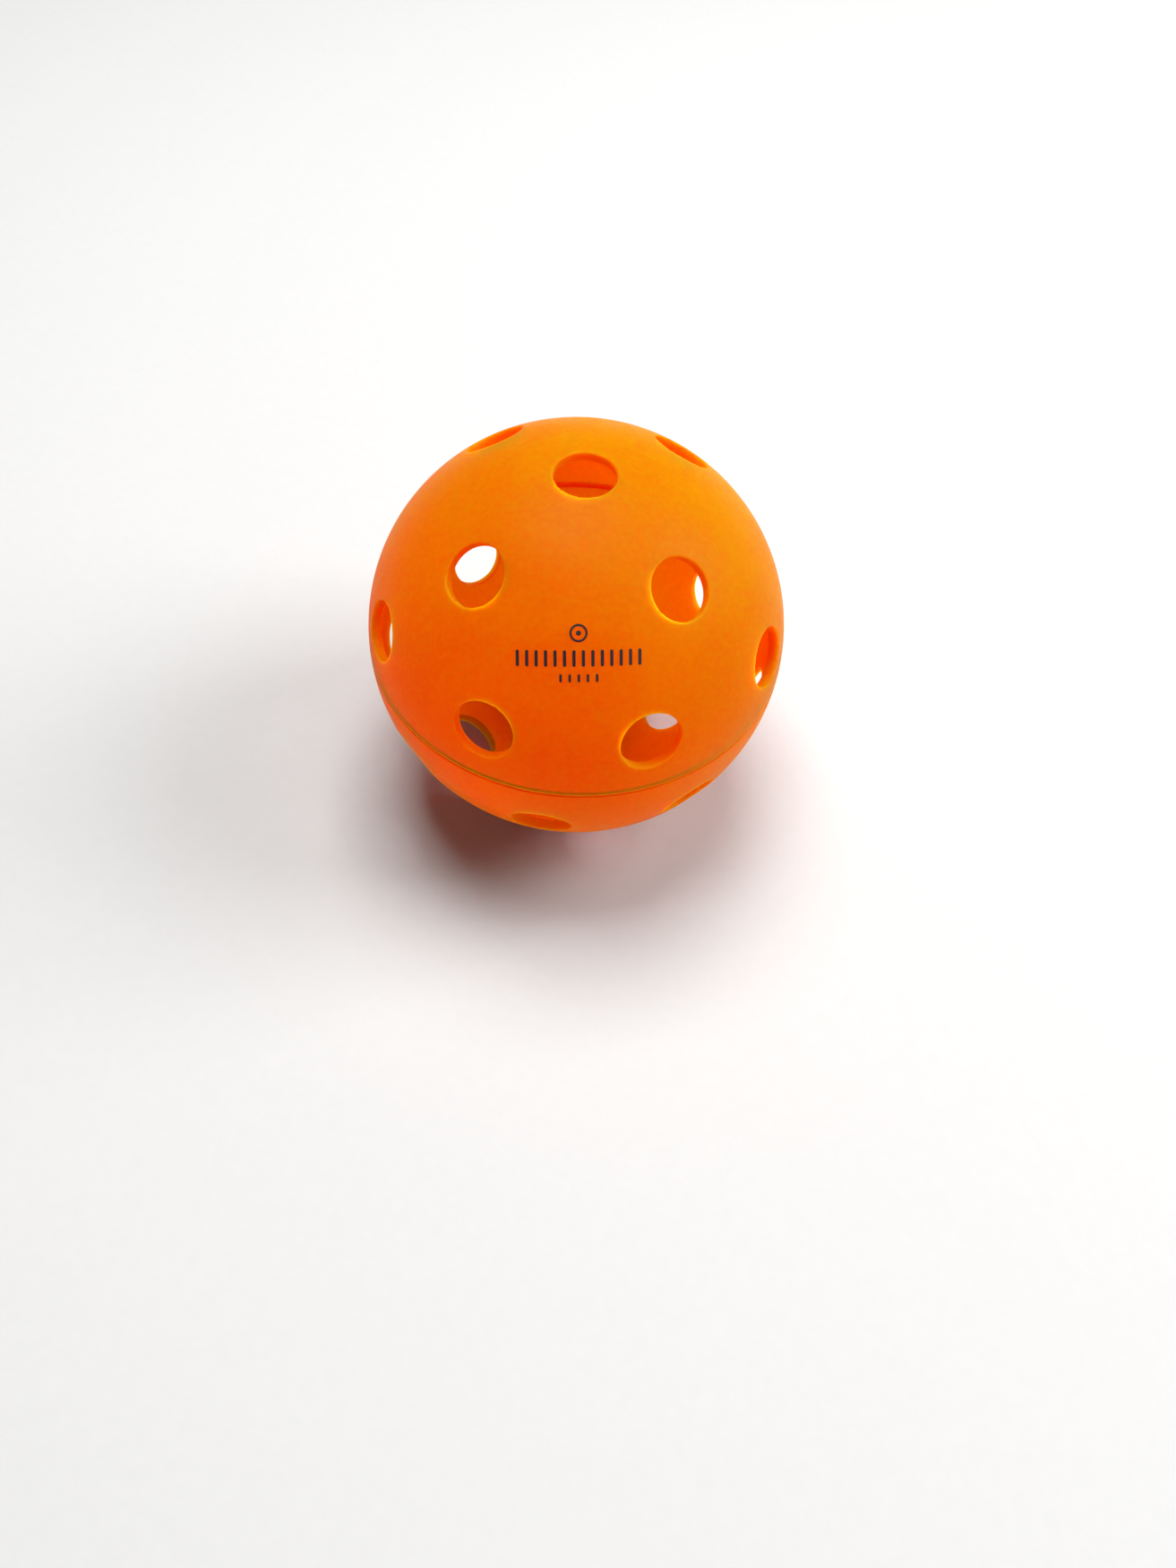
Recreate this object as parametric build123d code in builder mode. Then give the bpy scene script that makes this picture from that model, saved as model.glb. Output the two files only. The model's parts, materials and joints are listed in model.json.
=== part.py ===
from build123d import *
import os
from math import cos, radians, sin, sqrt

# Indoor pickleball ball: two moulded polyethylene half shells with thirteen round holes each,
# lapped and welded at the equator, with a small pad-printed mark on the upper half.
# Millimetres. The origin is the ball's centre and +Z is the polar axis. At rest the ball stands on the
# rim of its lower polar hole. The printed mark faces -Y.

# The ball
ball_diameter = 74.0
wall_thickness = 1.85
hole_diameter = 10.4
outer_rim_rounding = 0.3
inner_rim_rounding = 0.15

# Each half has a hole at its pole, a ring of four and a ring of eight.
# A ring's polar angle is counted from the half's own pole, and its azimuth from +X.
four_count = 4
eight_count = 8
upper_four_polar = 38.5
upper_eight_polar = 73.5
upper_four_azimuth = 45.0
lower_four_polar = 34.0
lower_eight_polar = 70.0
lower_turn = -28.5

# The lap joint: a lip on the lower half stands in a recess of the upper half
lip_thickness = 0.9
lip_height = 1.35
lip_side_clearance = 0.05
lip_end_clearance = 0.15

# The weld fills a groove chamfered into both outer edges of the joint
weld_groove_half_width = 0.3
weld_groove_depth = 0.35
weld_sink = 0.04

# The printed mark: a ring round a dot, over a long row of upright bars, over a short row
ink_thickness = 0.04
mark_latitude = 41.0
mark_azimuth = -88.0
mark_tilt = 3.0
emblem_offset = 3.9
emblem_outer_radius = 1.4
emblem_inner_radius = 1.05
emblem_dot_radius = 0.4
long_row_bars = 14
long_row_pitch = 1.45
long_bar_width = 0.5
long_bar_height = 2.6
short_row_offset = -3.1
short_row_bars = 5
short_row_pitch = 1.4
short_bar_width = 0.4
short_bar_height = 1.3

# Worked out from the dimensions above
ball_radius = ball_diameter / 2
inner_radius = ball_radius - wall_thickness
hole_radius = hole_diameter / 2
hole_depth = 3 * wall_thickness
four_step = 360 / four_count
eight_step = 360 / eight_count
lower_four_azimuth = upper_four_azimuth + lower_turn
lip_outer_radius = inner_radius + lip_thickness
recess_radius = lip_outer_radius + lip_side_clearance
recess_height = lip_height + lip_end_clearance
groove_floor_radius = ball_radius - weld_groove_depth
groove_edge_radius = sqrt(ball_radius**2 - weld_groove_half_width**2)
ink_reach = 2.0
match_tolerance = 0.01

os.makedirs("parts", exist_ok=True)


def direction(polar, azimuth):
    """Unit vector at a polar angle from +Z and an azimuth from +X, in degrees."""
    across = sin(radians(polar))
    return Vector(across * cos(radians(azimuth)), across * sin(radians(azimuth)), cos(radians(polar)))


def hole_directions(four_polar, eight_polar, four_azimuth, lower):
    """Axes of a half's thirteen holes. The ring of eight is centred between the holes of the ring of four."""
    axes = [direction(0, 0)]
    axes += [direction(four_polar, four_azimuth + four_step * k) for k in range(four_count)]
    axes += [direction(eight_polar, four_azimuth + eight_step * (k + 0.5)) for k in range(eight_count)]
    if lower:
        axes = [Vector(axis.X, axis.Y, -axis.Z) for axis in axes]
    return axes


def section_plane(azimuth):
    """Upright plane through the polar axis, with its local X outward at an azimuth."""
    return Plane(origin=(0, 0, 0), x_dir=direction(90, azimuth), z_dir=direction(90, azimuth - 90))


def pierce(axes):
    """Cut round holes through the wall of the half shell being built."""
    with Locations([Plane(origin=axis * ball_radius, z_dir=axis) for axis in axes]):
        Hole(radius=hole_radius, depth=hole_depth)


def hole_rims(half, sphere_radius):
    """The edges where the hole walls meet the sphere of a radius about the ball's centre."""
    walls = half.faces().filter_by(GeomType.CYLINDER)
    hole_walls = walls.filter_by(lambda wall: abs(wall.radius - hole_radius) < match_tolerance)
    starts_there = hole_walls.edges().filter_by(
        lambda edge: abs((edge @ 0).length - sphere_radius) < match_tolerance
    )
    return starts_there.filter_by(lambda edge: abs((edge @ 1).length - sphere_radius) < match_tolerance)


def soften_rims(half):
    """Round the outer and inner edges of every hole."""
    fillet(hole_rims(half, ball_radius), radius=outer_rim_rounding)
    fillet(hole_rims(half, inner_radius), radius=inner_rim_rounding)


def finish_ink():
    """Keep only the thin layer of ink that lies on the ball's surface."""
    Sphere(ball_radius + ink_thickness, mode=Mode.INTERSECT)
    Sphere(ball_radius, mode=Mode.SUBTRACT)


# Upper half: its equator edge is recessed on the inside, to take the lip of the lower half.
# Each half's section starts its turn midway between two holes of both rings.
upper_axes = hole_directions(upper_four_polar, upper_eight_polar, upper_four_azimuth, lower=False)
recess_inner_radius = sqrt(inner_radius**2 - recess_height**2)

with BuildPart() as upper_half_shell:
    with BuildSketch(section_plane(upper_four_azimuth + four_step / 2)):
        with BuildLine():
            Line((0, inner_radius), (0, ball_radius))
            RadiusArc((0, ball_radius), (groove_edge_radius, weld_groove_half_width), ball_radius)
            Polyline(
                (groove_edge_radius, weld_groove_half_width),
                (groove_floor_radius, 0),
                (recess_radius, 0),
                (recess_radius, recess_height),
                (recess_inner_radius, recess_height),
            )
            RadiusArc((recess_inner_radius, recess_height), (0, inner_radius), -inner_radius)
        make_face()
    revolve(axis=Axis.Z)
    pierce(upper_axes)
    soften_rims(upper_half_shell)

upper_half_shell.part.label = "upper_half_shell"
export_step(upper_half_shell.part, "parts/upper_half_shell.step")

# Lower half: the inner part of its wall stands up past the equator as the lip
lower_axes = hole_directions(lower_four_polar, lower_eight_polar, lower_four_azimuth, lower=True)
lip_inner_radius = sqrt(inner_radius**2 - lip_height**2)

with BuildPart() as lower_half_shell:
    with BuildSketch(section_plane(lower_four_azimuth + four_step / 2)):
        with BuildLine():
            Line((0, -inner_radius), (0, -ball_radius))
            RadiusArc((0, -ball_radius), (groove_edge_radius, -weld_groove_half_width), -ball_radius)
            Polyline(
                (groove_edge_radius, -weld_groove_half_width),
                (groove_floor_radius, 0),
                (lip_outer_radius, 0),
                (lip_outer_radius, lip_height),
                (lip_inner_radius, lip_height),
            )
            RadiusArc((lip_inner_radius, lip_height), (0, -inner_radius), inner_radius)
        make_face()
    revolve(axis=Axis.Z)
    pierce(lower_axes)
    soften_rims(lower_half_shell)

lower_half_shell.part.label = "lower_half_shell"
export_step(lower_half_shell.part, "parts/lower_half_shell.step")

# Weld seam: melted plastic that fills the groove and has sunk a little below the surface
with BuildPart() as weld_seam:
    with BuildSketch(Plane.XZ):
        with BuildLine():
            Polyline(
                (groove_edge_radius, weld_groove_half_width),
                (groove_floor_radius, 0),
                (groove_edge_radius, -weld_groove_half_width),
            )
            ThreePointArc(
                (groove_edge_radius, -weld_groove_half_width),
                (ball_radius - weld_sink, 0),
                (groove_edge_radius, weld_groove_half_width),
            )
        make_face()
    revolve(axis=Axis.Z)

weld_seam.part.label = "weld_seam"
export_step(weld_seam.part, "parts/weld_seam.step")

# Printed mark: each shape is drawn on the plane that touches the ball there
mark_normal = direction(90 - mark_latitude, mark_azimuth)
mark_east = direction(90, mark_azimuth + 90).rotate(Axis((0, 0, 0), mark_normal), mark_tilt)
mark_plane = Plane(origin=mark_normal * ball_radius, x_dir=mark_east, z_dir=mark_normal)

with BuildPart() as ink_emblem:
    with BuildSketch(mark_plane):
        with Locations((0, emblem_offset)):
            Circle(emblem_outer_radius)
            Circle(emblem_inner_radius, mode=Mode.SUBTRACT)
            Circle(emblem_dot_radius)
    extrude(amount=ink_reach, both=True)
    finish_ink()

ink_emblem.part.label = "ink_emblem"
export_step(ink_emblem.part, "parts/ink_emblem.step")

with BuildPart() as ink_long_row:
    with BuildSketch(mark_plane):
        with GridLocations(long_row_pitch, 0, long_row_bars, 1):
            SlotOverall(long_bar_height, long_bar_width, rotation=90)
    extrude(amount=ink_reach, both=True)
    finish_ink()

ink_long_row.part.label = "ink_long_row"
export_step(ink_long_row.part, "parts/ink_long_row.step")

with BuildPart() as ink_short_row:
    with BuildSketch(mark_plane):
        with Locations((0, short_row_offset)):
            with GridLocations(short_row_pitch, 0, short_row_bars, 1):
                SlotOverall(short_bar_height, short_bar_width, rotation=90)
    extrude(amount=ink_reach, both=True)
    finish_ink()

ink_short_row.part.label = "ink_short_row"
export_step(ink_short_row.part, "parts/ink_short_row.step")
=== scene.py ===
import json
from math import acos, asin, cos, pi, radians, sin, sqrt, tau

import bmesh
import bpy
from mathutils import Color, Matrix, Quaternion, Vector, noise
from mathutils.geometry import delaunay_2d_cdt


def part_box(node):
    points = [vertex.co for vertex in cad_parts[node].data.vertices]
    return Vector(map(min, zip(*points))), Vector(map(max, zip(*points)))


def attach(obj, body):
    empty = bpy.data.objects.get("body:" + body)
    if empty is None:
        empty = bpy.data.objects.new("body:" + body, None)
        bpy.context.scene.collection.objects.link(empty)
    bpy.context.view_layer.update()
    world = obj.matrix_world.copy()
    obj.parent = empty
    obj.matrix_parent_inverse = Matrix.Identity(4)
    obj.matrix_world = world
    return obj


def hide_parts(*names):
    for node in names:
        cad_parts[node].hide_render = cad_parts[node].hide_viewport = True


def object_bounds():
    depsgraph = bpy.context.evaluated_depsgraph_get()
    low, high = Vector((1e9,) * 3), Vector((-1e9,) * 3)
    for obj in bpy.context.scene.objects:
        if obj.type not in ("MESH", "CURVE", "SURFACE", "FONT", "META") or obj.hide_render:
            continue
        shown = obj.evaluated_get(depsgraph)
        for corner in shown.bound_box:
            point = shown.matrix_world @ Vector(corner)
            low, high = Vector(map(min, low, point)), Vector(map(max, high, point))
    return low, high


# Indoor pickleball ball: two perforated, moulded polyethylene half shells welded at the equator,
# with a small pad-printed mark. Metres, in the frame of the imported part: +Z is the polar axis.
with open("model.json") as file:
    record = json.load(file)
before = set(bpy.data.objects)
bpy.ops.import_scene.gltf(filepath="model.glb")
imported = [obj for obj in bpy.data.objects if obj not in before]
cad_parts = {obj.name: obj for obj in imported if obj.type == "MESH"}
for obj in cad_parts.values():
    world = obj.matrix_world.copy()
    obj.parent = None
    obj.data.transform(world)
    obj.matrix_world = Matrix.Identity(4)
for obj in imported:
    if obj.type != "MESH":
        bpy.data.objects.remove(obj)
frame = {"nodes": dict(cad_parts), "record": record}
CAD_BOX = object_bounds()
MM = 0.001

# ---------------------------------------------------------------- sizes taken from the frame
record = frame["record"]
shell_low, shell_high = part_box("upper_half_shell")
polar_bore = next(mount for mount in record["mounts"] if mount["name"] == "polar_bore")

BALL_RADIUS = (shell_high.x - shell_low.x) / 2
INNER_RADIUS = min(vertex.co.length for vertex in frame["nodes"]["upper_half_shell"].data.vertices)
HOLE_RADIUS = polar_bore["dims"]["r_mm"] * MM
GROOVE_HALF_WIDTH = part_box("weld_seam")[1].z
LIP_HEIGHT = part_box("lower_half_shell")[1].z

# ---------------------------------------------------------------- how the halves are moulded
RIM_ROUNDING = 0.30 * MM        # outer edge of a hole
INNER_RIM_ROUNDING = 0.15 * MM  # inner edge of a hole
RIM_UNEVENNESS = 0.22           # share by which the rounding swells and shrinks round a hole
RIM_SWELLS = 2.21               # radius of the circle on which the noise is read: larger swells more often
NICKS_PER_HOLE = 3
NICK_GROWTH = 0.7               # share by which a nick widens the rounding
NICK_WIDTH = 0.35 * MM
HOLE_SEED = 12.41               # how far apart in the noise two holes are read
NICK_SEEDS = (3.1, 5.7)         # the same for the nicks, from hole to hole and from nick to nick
GROOVE_DEPTH = 0.35 * MM
LIP_THICKNESS = 0.9 * MM
LIP_CLEARANCE = 0.05 * MM
LIP_END_CLEARANCE = 0.03 * MM   # the weld has drawn the lip home
JOINT_GAP = 0.02 * MM           # each joint face stands back by this, so that no two faces coincide
WELD_SINK = 0.03 * MM
WELD_RIPPLE = 0.012 * MM
WELD_RIPPLE_LENGTH = 1.1 * MM
WELD_RIPPLE_SEED = 0.4          # where in the noise the ripple is read
SHRINK_DEPTH = 0.012 * MM       # how far the wall has drawn in as it cooled
SHRINK_LENGTH = 8 * MM

# ---------------------------------------------------------------- how far light reaches into the plastic
# Settings of the shader, chosen by their look. They are not lengths measured in the plastic.
RED_REACH = 150 * MM
INSIDE_RED_REACH = 15 * MM      # the hollow is lit evenly, and its wall gives most of that light back
GREEN_REACH = 6 * MM
INSIDE_GREEN_REACH = 9.5 * MM
BLUE_REACH = 1 * MM
CLEAR_TINT = "#FFF0D8"          # what light takes on as it passes a thin, clear place

# ---------------------------------------------------------------- material slots of a half shell
# The outer skin with the hole walls, the surface towards the hollow, and the lip's faces in the joint.
SKIN, INSIDE, LIP_FACE = range(3)

# ---------------------------------------------------------------- mesh spacing
RING_POINTS = (96, 96, 72, 54)
RING_STEPS = (0.0, 0.35 * MM, 0.85 * MM, 1.5 * MM)
EDGE_POINTS = (480, 400, 300)
EDGE_STEPS = (0.0, 0.5 * MM, 1.2 * MM)
FIELD_SPACING = 1.0 * MM
FIELD_ROOM = 0.6 * FIELD_SPACING  # how far the field of points stays from the rings round holes and edge
ROUNDING_STEPS = 5
WALL_STEPS = 4
BLEND_LENGTH = 3 * MM
SAME_POINT = 1e-7               # nearness limit of the triangulation
CREASE = radians(50)            # faces that meet at more than this keep a sharp corner


def linear(hex_colour, alpha=True):
    """sRGB hex to Blender's linear colour."""
    channels = [int(hex_colour[k:k + 2], 16) / 255 for k in (1, 3, 5)]
    colour = Color(channels).from_srgb_to_scene_linear()
    return (*colour, 1.0) if alpha else tuple(colour)


def smooth_fall(distance, length):
    """1 at no distance, 0 from a length on, with no corner at either end."""
    t = min(max(distance / length, 0.0), 1.0)
    return 1 - t * t * (3 - 2 * t)


# ================================================================ the shells
def hole_axes(half):
    """Axes of a half's thirteen holes, as unit vectors in the half's own frame with its pole at +Z."""
    side = 1 if half == "upper" else -1
    axes = [Vector((0, 0, 1))]
    for opening in record["physics"]["openings"]:
        if opening["name"].startswith(half):
            low, high = (Vector(corner) for corner in opening["box_m"])
            middle = low + high
            axes.append(Vector((middle.x, middle.y, side * middle.z)).normalized())
    return axes


def ring_frame(axis):
    """Two directions square to an axis and to each other."""
    across = axis.orthogonal().normalized()
    return across, axis.cross(across)


def around(axis, angle, turn):
    """The direction that leans from an axis by an angle, at a turn round it."""
    across, along = ring_frame(axis)
    return axis * cos(angle) + (across * cos(turn) + along * sin(turn)) * sin(angle)


def rounding_at(hole, turn, base):
    """Radius of a hole's rounded edge at a turn round the hole: uneven, with a few small nicks."""
    seat = Vector((cos(turn), sin(turn), 0)) * RIM_SWELLS + Vector((0, 0, HOLE_SEED * hole))
    size = 1 + RIM_UNEVENNESS * noise.noise(seat)
    for k in range(NICKS_PER_HOLE):
        seat = Vector((hole * NICK_SEEDS[0], k * NICK_SEEDS[1], base / MM))
        place = tau * (0.5 + 0.5 * noise.noise(seat))
        gap = abs((turn - place + pi) % tau - pi) * HOLE_RADIUS
        size += NICK_GROWTH * smooth_fall(gap, NICK_WIDTH)
    return base * size


def rim_profile(hole, turn):
    """(distance from the hole's axis, height along it) down a hole's edge, outer surface first."""
    outer = rounding_at(hole, turn, RIM_ROUNDING)
    inner = rounding_at(hole, turn, INNER_RIM_ROUNDING)
    top = sqrt((BALL_RADIUS - outer) ** 2 - (HOLE_RADIUS + outer) ** 2)
    bottom = sqrt((INNER_RADIUS + inner) ** 2 - (HOLE_RADIUS + inner) ** 2)
    outer_lean = asin((HOLE_RADIUS + outer) / (BALL_RADIUS - outer))
    inner_lean = asin((HOLE_RADIUS + inner) / (INNER_RADIUS + inner))
    points = []
    for k in range(ROUNDING_STEPS + 1):
        swing = pi / 2 - outer_lean + (pi / 2 + outer_lean) * k / ROUNDING_STEPS
        points.append((HOLE_RADIUS + outer + outer * cos(swing), top + outer * sin(swing)))
    for k in range(1, WALL_STEPS):
        points.append((HOLE_RADIUS, top + (bottom - top) * k / WALL_STEPS))
    for k in range(ROUNDING_STEPS + 1):
        swing = pi + (pi / 2 - inner_lean) * k / ROUNDING_STEPS
        points.append((HOLE_RADIUS + inner + inner * cos(swing), bottom + inner * sin(swing)))
    return points


def edge_profile(half):
    """(distance from the polar axis, height) across a half's equator edge, outer surface first."""
    floor_radius = BALL_RADIUS - GROOVE_DEPTH
    lip_radius = INNER_RADIUS + LIP_THICKNESS
    edge_radius = sqrt(BALL_RADIUS**2 - GROOVE_HALF_WIDTH**2)
    if half == "upper":
        recess_radius = lip_radius + LIP_CLEARANCE
        height = LIP_HEIGHT + LIP_END_CLEARANCE
    else:
        recess_radius = lip_radius
        height = -LIP_HEIGHT
    return [
        (edge_radius, GROOVE_HALF_WIDTH),
        (floor_radius, JOINT_GAP),
        (recess_radius, JOINT_GAP),
        (recess_radius, height),
        (sqrt(INNER_RADIUS**2 - height**2), height),
    ]


def surface_directions(half, axes):
    """Directions of the outer surface's points, with the indices of each hole's first ring and of the
    edge."""
    directions, rims = [], []
    for hole, axis in enumerate(axes):
        for ring, (count, step) in enumerate(zip(RING_POINTS, RING_STEPS)):
            start = len(directions)
            for k in range(count):
                turn = tau * (k + 0.5 * (ring % 2)) / count
                lean = rim_lean() + step / BALL_RADIUS
                if ring == 0:
                    across, height = rim_profile(hole, turn)[0]
                    lean = asin(across / sqrt(across**2 + height**2))
                directions.append(around(axis, lean, turn))
            if ring == 0:
                rims.append(list(range(start, len(directions))))
    edge = []
    for ring, (count, step) in enumerate(zip(EDGE_POINTS, EDGE_STEPS)):
        lift = asin(GROOVE_HALF_WIDTH / BALL_RADIUS) + step / BALL_RADIUS
        for k in range(count):
            turn = tau * (k + 0.5 * (ring % 2)) / count
            if ring == 0:
                edge.append(len(directions))
            directions.append(Vector((cos(lift) * cos(turn), cos(lift) * sin(turn), sin(lift))))
    clear_of_rim = rim_lean() + (RING_STEPS[-1] + FIELD_ROOM) / BALL_RADIUS
    clear_of_edge = sin((GROOVE_HALF_WIDTH + EDGE_STEPS[-1] + FIELD_ROOM) / BALL_RADIUS)
    closeness = cos(clear_of_rim)
    total = int(4 * pi * BALL_RADIUS**2 / (FIELD_SPACING**2 * sqrt(3) / 2))
    golden_turn = pi * (3 - sqrt(5))
    for k in range(total // 2):
        height = 1 - (2 * k + 1) / total
        across = sqrt(1 - height**2)
        direction = Vector((across * cos(golden_turn * k), across * sin(golden_turn * k), height))
        if height > clear_of_edge and all(direction.dot(axis) < closeness for axis in axes):
            directions.append(direction)
    return directions, rims, edge


def rim_lean():
    """The lean of the circle where a hole's even rounding meets the outer surface."""
    return asin((HOLE_RADIUS + RIM_ROUNDING) / (BALL_RADIUS - RIM_ROUNDING))


def inner_direction(direction, axes, edge_lift):
    """The inner surface's direction under an outer one: it gives way to the holes and to the lap joint."""
    outer_lift = asin(GROOVE_HALF_WIDTH / BALL_RADIUS)
    lift = asin(direction.z)
    near_edge = smooth_fall((lift - outer_lift) * BALL_RADIUS, 2 * BLEND_LENGTH)
    if near_edge > 0:
        new_lift = lift + (edge_lift - outer_lift) * near_edge
        flat = Vector((direction.x, direction.y, 0)).normalized()
        direction = flat * cos(new_lift) + Vector((0, 0, sin(new_lift)))
    inner_lean = asin((HOLE_RADIUS + INNER_RIM_ROUNDING) / (INNER_RADIUS + INNER_RIM_ROUNDING))
    for axis in axes:
        lean = acos(min(1.0, direction.dot(axis)))
        near_hole = smooth_fall((lean - rim_lean()) * BALL_RADIUS, BLEND_LENGTH)
        if near_hole > 0:
            pivot = axis.cross(direction).normalized()
            direction = Quaternion(pivot, (inner_lean - rim_lean()) * near_hole) @ direction
    return direction


def shrunk(point, direction):
    """A point drawn in a little, as the cooling wall draws in more in one place than in another."""
    depth = 0.5 + 0.5 * noise.noise(point / SHRINK_LENGTH)
    return point - direction * SHRINK_DEPTH * depth


def half_shell(half, name):
    """A half shell: triangles over both surfaces, quads down every hole and across the edge.
    Where two nicks of a hole meet, the widened rounding passes the next ring of points, and the mesh
    folds and stays open there, over a few tenths of a millimetre."""
    axes = hole_axes(half)
    directions, rims, edge = surface_directions(half, axes)
    flat = [Vector((d.x, d.y)) / (1 + d.z) for d in directions]
    triangles = delaunay_2d_cdt(flat, [], [], 0, SAME_POINT)[2]
    owner = {index: hole for hole, rim in enumerate(rims) for index in rim}
    triangles = [t for t in triangles if len({owner.get(i, -1 - i) for i in t}) > 1]

    profile = edge_profile(half)
    edge_lift = asin(profile[-1][1] / INNER_RADIUS)
    mesh = bmesh.new()
    outer = [mesh.verts.new(shrunk(d * BALL_RADIUS, d)) for d in directions]
    inner = [mesh.verts.new(inner_direction(d, axes, edge_lift) * INNER_RADIUS) for d in directions]
    for a, b, c in triangles:
        mesh.faces.new((outer[a], outer[b], outer[c]))
        mesh.faces.new((inner[c], inner[b], inner[a])).material_index = INSIDE

    for hole, (axis, rim) in enumerate(zip(axes, rims)):
        across, along = ring_frame(axis)
        columns = []
        for k, index in enumerate(rim):
            turn = tau * k / len(rim)
            side = across * cos(turn) + along * sin(turn)
            drop = rim_profile(hole, turn)
            middle = [mesh.verts.new(side * r + axis * h) for r, h in drop[1:-1]]
            inner[index].co = side * drop[-1][0] + axis * drop[-1][1]
            columns.append([outer[index], *middle, inner[index]])
        stitch(mesh, columns)

    columns = []
    for k, index in enumerate(edge):
        turn = tau * k / len(edge)
        middle = [mesh.verts.new(Vector((r * cos(turn), r * sin(turn), z))) for r, z in profile[1:-1]]
        columns.append([outer[index], *middle, inner[index]])
    stitch(mesh, columns)

    if half == "lower":
        for face in mesh.faces:
            if face.material_index == SKIN and face.calc_center_median().z < 0:
                face.material_index = LIP_FACE
        bmesh.ops.transform(mesh, matrix=Matrix.Diagonal((1, 1, -1, 1)), verts=mesh.verts)
    return finished(mesh, name, crease_angle=CREASE)


def stitch(mesh, columns):
    """Quads between neighbouring columns of points, closed into a ring."""
    for left, right in zip(columns, columns[1:] + columns[:1]):
        for k in range(len(left) - 1):
            mesh.faces.new((left[k], left[k + 1], right[k + 1], right[k]))


def finished(mesh, name, crease_angle):
    """Turn a bmesh into a smooth object whose real corners stay sharp."""
    bmesh.ops.recalc_face_normals(mesh, faces=mesh.faces)
    data = bpy.data.meshes.new(name)
    mesh.to_mesh(data)
    mesh.free()
    data.shade_smooth()
    data.set_sharp_from_angle(angle=crease_angle)
    made = bpy.data.objects.new(name, data)
    bpy.context.scene.collection.objects.link(made)
    return made


# ================================================================ the weld
def weld_bead(name):
    """The ring of melted plastic in the equator's groove, slightly sunk and rippled."""
    edge_radius = sqrt(BALL_RADIUS**2 - GROOVE_HALF_WIDTH**2)
    across_steps = 6
    mesh = bmesh.new()
    columns = []
    for k in range(EDGE_POINTS[0]):
        turn = tau * k / EDGE_POINTS[0]
        seat = Vector((cos(turn), sin(turn), WELD_RIPPLE_SEED)) * BALL_RADIUS / WELD_RIPPLE_LENGTH
        ripple = WELD_RIPPLE * noise.noise(seat)
        section = []
        for step in range(across_steps + 1):
            share = 2 * step / across_steps - 1
            height = (GROOVE_HALF_WIDTH - JOINT_GAP) * share
            top = sqrt(BALL_RADIUS**2 - height**2) - (WELD_SINK + ripple) * (1 - share**2)
            section.append((top, height))
        section.append((BALL_RADIUS - GROOVE_DEPTH + JOINT_GAP, 0))
        points = [mesh.verts.new((r * cos(turn), r * sin(turn), z)) for r, z in section]
        columns.append([*points, points[0]])
    stitch(mesh, columns)
    return finished(mesh, name, crease_angle=CREASE)


# ================================================================ materials
def node(tree, kind, inputs=None, **settings):
    """Add a node. Settings are its own properties. Inputs are socket values, or the sockets that feed
    them."""
    made = tree.nodes.new(kind)
    for name, value in settings.items():
        setattr(made, name, value)
    for name, value in (inputs or {}).items():
        if isinstance(value, bpy.types.NodeSocket):
            tree.links.new(value, made.inputs[name])
        else:
            made.inputs[name].default_value = value
    return made


def new_material(name):
    """An empty material and its node tree."""
    made = bpy.data.materials.new(name)
    made.use_nodes = True
    made.node_tree.nodes.clear()
    return made, made.node_tree


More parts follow.
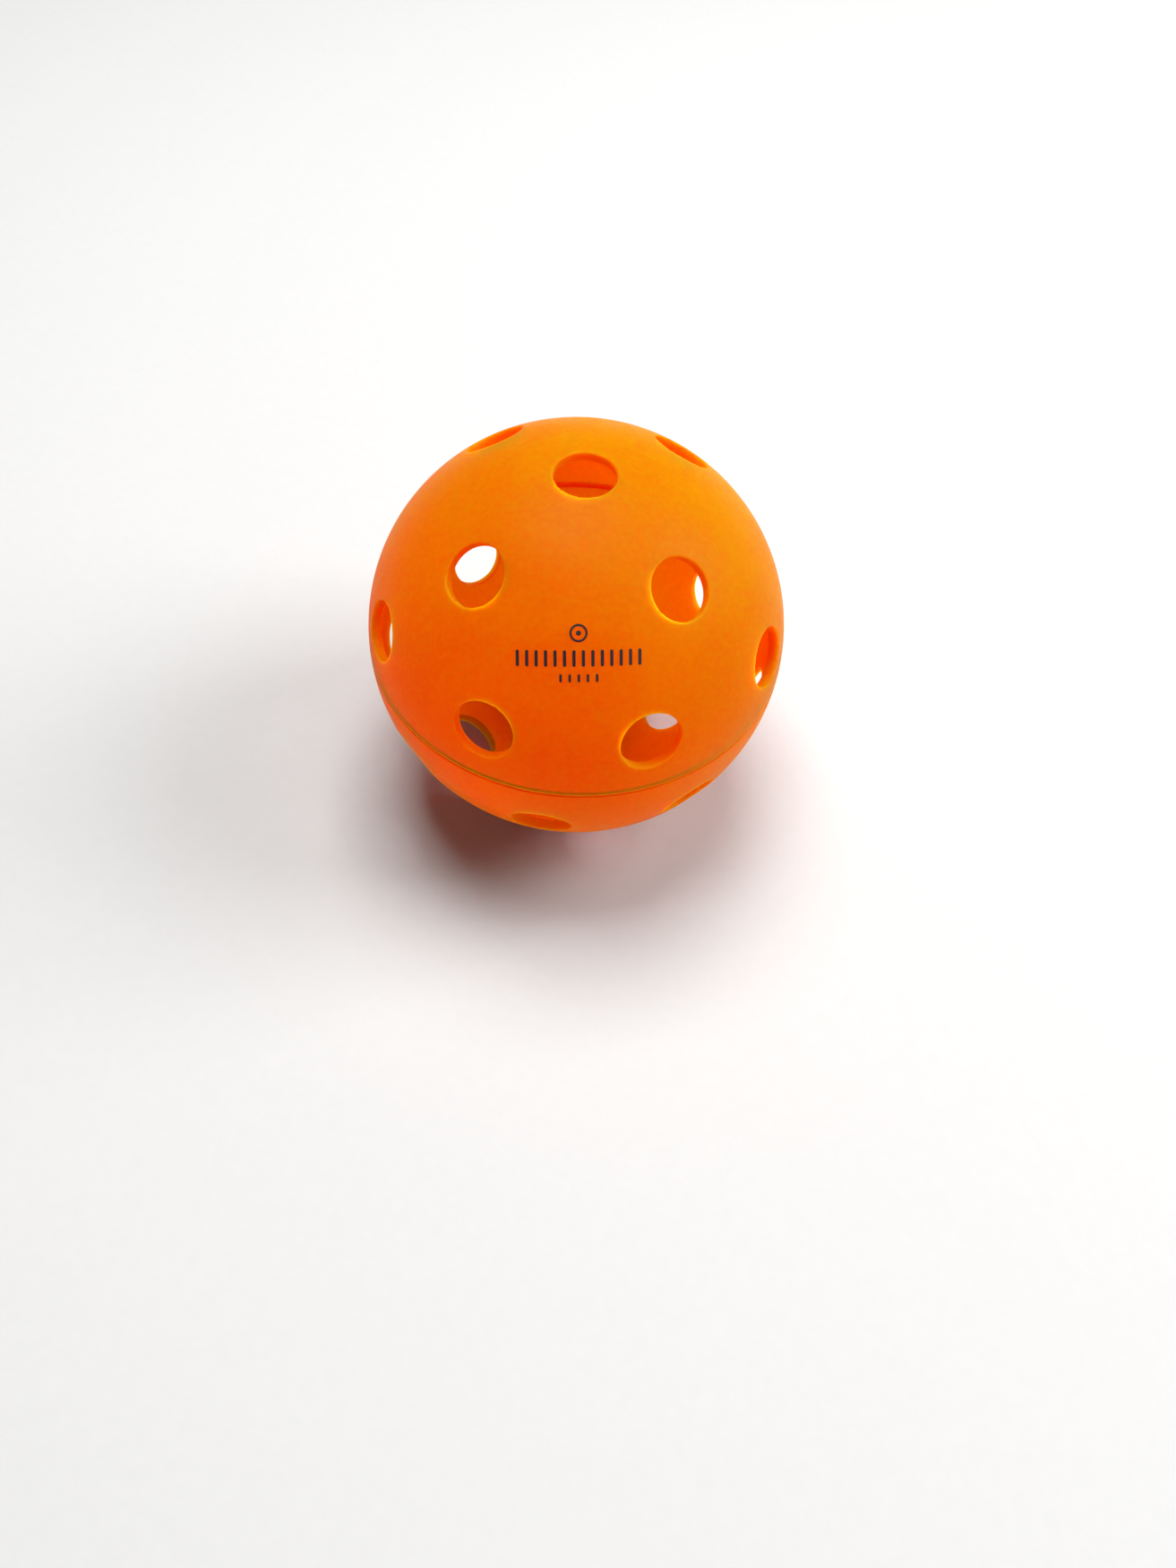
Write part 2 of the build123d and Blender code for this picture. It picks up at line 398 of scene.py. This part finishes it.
def polyethylene(name, red_reach, green_reach, clear_behind=False):
    """Injection-moulded polyethylene, pigmented orange: satin, waxy, and clear enough for light to pass
    through the thin wall, so that the hollow inside glows redder than the outside."""
    made, tree = new_material(name)
    place = node(tree, "ShaderNodeTexCoord").outputs["Object"]
    # The pigment is streaked where the melt flowed, over some 16 mm, and speckled finely.
    flow = node(tree, "ShaderNodeTexNoise", {
        "Vector": place, "Scale": 1 / (16 * MM), "Detail": 3.0, "Distortion": 0.6})
    speckle = node(tree, "ShaderNodeTexNoise", {"Vector": place, "Scale": 1 / (0.9 * MM), "Detail": 2.0})
    blend = node(tree, "ShaderNodeMath", {
        0: flow.outputs["Fac"], 1: speckle.outputs["Fac"]}, operation="MULTIPLY")
    share = node(tree, "ShaderNodeMapRange", {
        "Value": blend.outputs[0], "From Min": 0.12, "From Max": 0.38})
    colour = node(tree, "ShaderNodeMix", {
        0: share.outputs[0], 6: linear("#FF6E00"), 7: linear("#FF6200")}, data_type="RGBA")
    # The mould is spark-eroded to a grain of about 0.1 mm, drawn at 0.45 mm so that it shows.
    grain = node(tree, "ShaderNodeTexNoise", {
        "Vector": place, "Scale": 1 / (0.45 * MM), "Detail": 3.0, "Roughness": 0.6})
    bump = node(tree, "ShaderNodeBump", {
        "Height": grain.outputs["Fac"], "Strength": 0.25, "Distance": 0.02 * MM})
    # Its sheen differs in patches of a few millimetres, where handling has polished it.
    scuff = node(tree, "ShaderNodeTexNoise", {
        "Vector": place, "Scale": 1 / (3.5 * MM), "Detail": 5.0, "Distortion": 1.2})
    gloss = node(tree, "ShaderNodeMapRange", {
        "Value": scuff.outputs["Fac"], "From Min": 0.3, "From Max": 0.7, "To Min": 0.37, "To Max": 0.49})
    shader = node(tree, "ShaderNodeBsdfPrincipled", {
        "Base Color": colour.outputs[2],
        "Roughness": gloss.outputs[0],
        "Normal": bump.outputs[0],
        "IOR": 1.5,
        "Specular IOR Level": 0.02,
        "Subsurface Weight": 1.0,
        "Subsurface Radius": (1.0, green_reach / red_reach, BLUE_REACH / red_reach),
        "Subsurface Scale": red_reach,
        "Subsurface Anisotropy": 0.0,
    })
    # Light that reaches the surface from within the wall, through the lip, passes into the hollow.
    if clear_behind:
        side = node(tree, "ShaderNodeNewGeometry").outputs["Backfacing"]
        clear = node(tree, "ShaderNodeBsdfTransparent", {"Color": linear(CLEAR_TINT)})
        shader = node(tree, "ShaderNodeMixShader", {0: side, 1: shader.outputs[0], 2: clear.outputs[0]})
    node(tree, "ShaderNodeOutputMaterial", {"Surface": shader.outputs[0]})
    return made


def thin_polyethylene(name, pale, deep, clearness):
    """The same plastic where it is thin: light goes through it, and only a little is scattered."""
    made, tree = new_material(name)
    place = node(tree, "ShaderNodeTexCoord").outputs["Object"]
    flow = node(tree, "ShaderNodeTexNoise", {"Vector": place, "Scale": 1 / (16 * MM), "Detail": 3.0})
    colour = node(tree, "ShaderNodeMix", {
        0: flow.outputs["Fac"], 6: linear(pale), 7: linear(deep)}, data_type="RGBA")
    milky = node(tree, "ShaderNodeBsdfTranslucent", {"Color": colour.outputs[2]})
    clear = node(tree, "ShaderNodeBsdfTransparent", {"Color": linear(CLEAR_TINT)})
    shader = node(tree, "ShaderNodeMixShader", {0: clearness, 1: milky.outputs[0], 2: clear.outputs[0]})
    node(tree, "ShaderNodeOutputMaterial", {"Surface": shader.outputs[0]})
    return made


def pad_ink(name):
    """Two-part pad-printing ink: a thin blue-black film, dull, and slightly thinner in patches."""
    made, tree = new_material(name)
    place = node(tree, "ShaderNodeTexCoord").outputs["Object"]
    film = node(tree, "ShaderNodeTexNoise", {"Vector": place, "Scale": 1 / (0.5 * MM), "Detail": 4.0})
    colour = node(tree, "ShaderNodeMix", {
        0: film.outputs["Fac"], 6: linear("#0B0B12"), 7: linear("#17151C")}, data_type="RGBA")
    gloss = node(tree, "ShaderNodeMapRange", {
        "Value": film.outputs["Fac"], "To Min": 0.45, "To Max": 0.65})
    bump = node(tree, "ShaderNodeBump", {
        "Height": film.outputs["Fac"], "Strength": 0.2, "Distance": 0.01 * MM})
    shader = node(tree, "ShaderNodeBsdfPrincipled", {
        "Base Color": colour.outputs[2],
        "Roughness": gloss.outputs[0],
        "Normal": bump.outputs[0],
        "IOR": 1.5,
    })
    node(tree, "ShaderNodeOutputMaterial", {"Surface": shader.outputs[0]})
    return made


def matt_paper(name):
    """Matt white studio paper: even, faintly fibrous, with hardly any sheen."""
    made, tree = new_material(name)
    place = node(tree, "ShaderNodeTexCoord").outputs["Object"]
    fibre = node(tree, "ShaderNodeTexNoise", {"Vector": place, "Scale": 1 / (2 * MM), "Detail": 4.0})
    colour = node(tree, "ShaderNodeMix", {
        0: fibre.outputs["Fac"], 6: linear("#C4C4C3"), 7: linear("#C8C8C7")}, data_type="RGBA")
    shader = node(tree, "ShaderNodeBsdfPrincipled", {
        "Base Color": colour.outputs[2], "Roughness": 0.9, "Specular IOR Level": 0.1})
    node(tree, "ShaderNodeOutputMaterial", {"Surface": shader.outputs[0]})
    return made


# ================================================================ the studio
def paper_sweep(name):
    """A round sheet of paper that lies flat under the ball and curves up all round it."""
    flat_radius, curve_radius, sides, curve_steps = 1.0, 0.6, 96, 16
    height = CAD_BOX[0].z
    outline = [(flat_radius * share, height) for share in (0.02, 0.1, 0.3, 0.6)]
    for k in range(curve_steps + 1):
        swing = pi / 2 * k / curve_steps
        outline.append((flat_radius + curve_radius * sin(swing), height + curve_radius * (1 - cos(swing))))
    outline.append((flat_radius + curve_radius, height + 2 * curve_radius))
    mesh = bmesh.new()
    columns = []
    for k in range(sides):
        turn = tau * k / sides
        columns.append([mesh.verts.new((r * cos(turn), r * sin(turn), z)) for r, z in outline])
    stitch(mesh, columns)
    mesh.faces.new([column[0] for column in columns])
    return finished(mesh, name, crease_angle=radians(60))


def toward(azimuth, elevation):
    """Unit vector at an azimuth from +X and an elevation above the horizon, in degrees."""
    a, e = radians(azimuth), radians(elevation)
    return Vector((cos(e) * cos(a), cos(e) * sin(a), sin(e)))


def soft_light(name, azimuth, elevation, distance, size, power, colour):
    """A square soft box that faces the ball's centre."""
    data = bpy.data.lights.new(name, "AREA")
    data.size = size
    data.energy = power
    data.color = linear(colour, alpha=False)
    made = bpy.data.objects.new(name, data)
    made.location = toward(azimuth, elevation) * distance
    made.rotation_mode = "QUATERNION"
    made.rotation_quaternion = (-made.location).to_track_quat("-Z", "Y")
    bpy.context.scene.collection.objects.link(made)
    return made


def studio_camera():
    """Looks down at the printed side. The shift only sets where the ball stands in the view."""
    distance = 242.6 * MM
    data = bpy.data.cameras.new("camera")
    data.sensor_width = 36
    data.lens = 30.92
    data.shift_x = 0.0075
    data.shift_y = -0.1017
    data.clip_start = 0.01
    made = bpy.data.objects.new("camera", data)
    made.location = toward(azimuth=-89.42, elevation=49.04) * distance
    made.rotation_mode = "QUATERNION"
    roll = Quaternion((0, 0, 1), radians(3.48))
    made.rotation_quaternion = (-made.location).to_track_quat("-Z", "Y") @ roll
    bpy.context.scene.collection.objects.link(made)
    bpy.context.scene.camera = made


def studio_air(strength):
    """Even, dim light from all round."""
    world = bpy.data.worlds.new("studio_air")
    world.use_nodes = True
    world.node_tree.nodes.clear()
    light = node(world.node_tree, "ShaderNodeBackground", {"Color": (1, 1, 1, 1), "Strength": strength})
    node(world.node_tree, "ShaderNodeOutputWorld", {"Surface": light.outputs[0]})
    bpy.context.scene.world = world


studio_camera()
studio_air(strength=0.02)
soft_light("overhead_box", azimuth=105, elevation=76, distance=0.9, size=0.5, power=11.0, colour="#FFFFFF")
soft_light("right_box", azimuth=10, elevation=38, distance=0.9, size=0.5, power=8.0, colour="#FFFFFF")

sweep = paper_sweep("paper_sweep")
sweep.data.materials.append(matt_paper("matt_paper"))

# ================================================================ the ball
shell_plastic = polyethylene("orange_polyethylene", RED_REACH, GREEN_REACH)
inside_plastic = polyethylene("orange_polyethylene_inside", INSIDE_RED_REACH, INSIDE_GREEN_REACH)
lip_inside_plastic = polyethylene(
    "orange_polyethylene_inside_lip", INSIDE_RED_REACH, INSIDE_GREEN_REACH, clear_behind=True)
# The lip has half the wall's thickness. The weld has melted into a thin, clearer film.
lip_plastic = thin_polyethylene("thin_orange_polyethylene", pale="#FF7000", deep="#FF6800", clearness=0.9)
weld_plastic = thin_polyethylene("remelted_polyethylene", pale="#FF7400", deep="#FF6C00", clearness=0.9)

upper = half_shell("upper", "upper_half")
upper.data.materials.append(shell_plastic)
upper.data.materials.append(inside_plastic)
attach(upper, "root")
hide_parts("upper_half_shell")

lower = half_shell("lower", "lower_half")
for plastic in (shell_plastic, lip_inside_plastic, lip_plastic):
    lower.data.materials.append(plastic)
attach(lower, "root")
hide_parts("lower_half_shell")

weld = weld_bead("weld_bead")
weld.data.materials.append(weld_plastic)
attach(weld, "root")
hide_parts("weld_seam")

ink = pad_ink("blue_black_pad_ink")
for ink_name in ("ink_emblem", "ink_long_row", "ink_short_row"):
    frame["nodes"][ink_name].data.materials.clear()
    frame["nodes"][ink_name].data.materials.append(ink)

# Light crosses the thin wall and the hollow inside many times before it leaves.
bpy.context.scene.cycles.max_bounces = 24
bpy.context.scene.cycles.diffuse_bounces = 16
bpy.context.scene.view_settings.view_transform = "Standard"
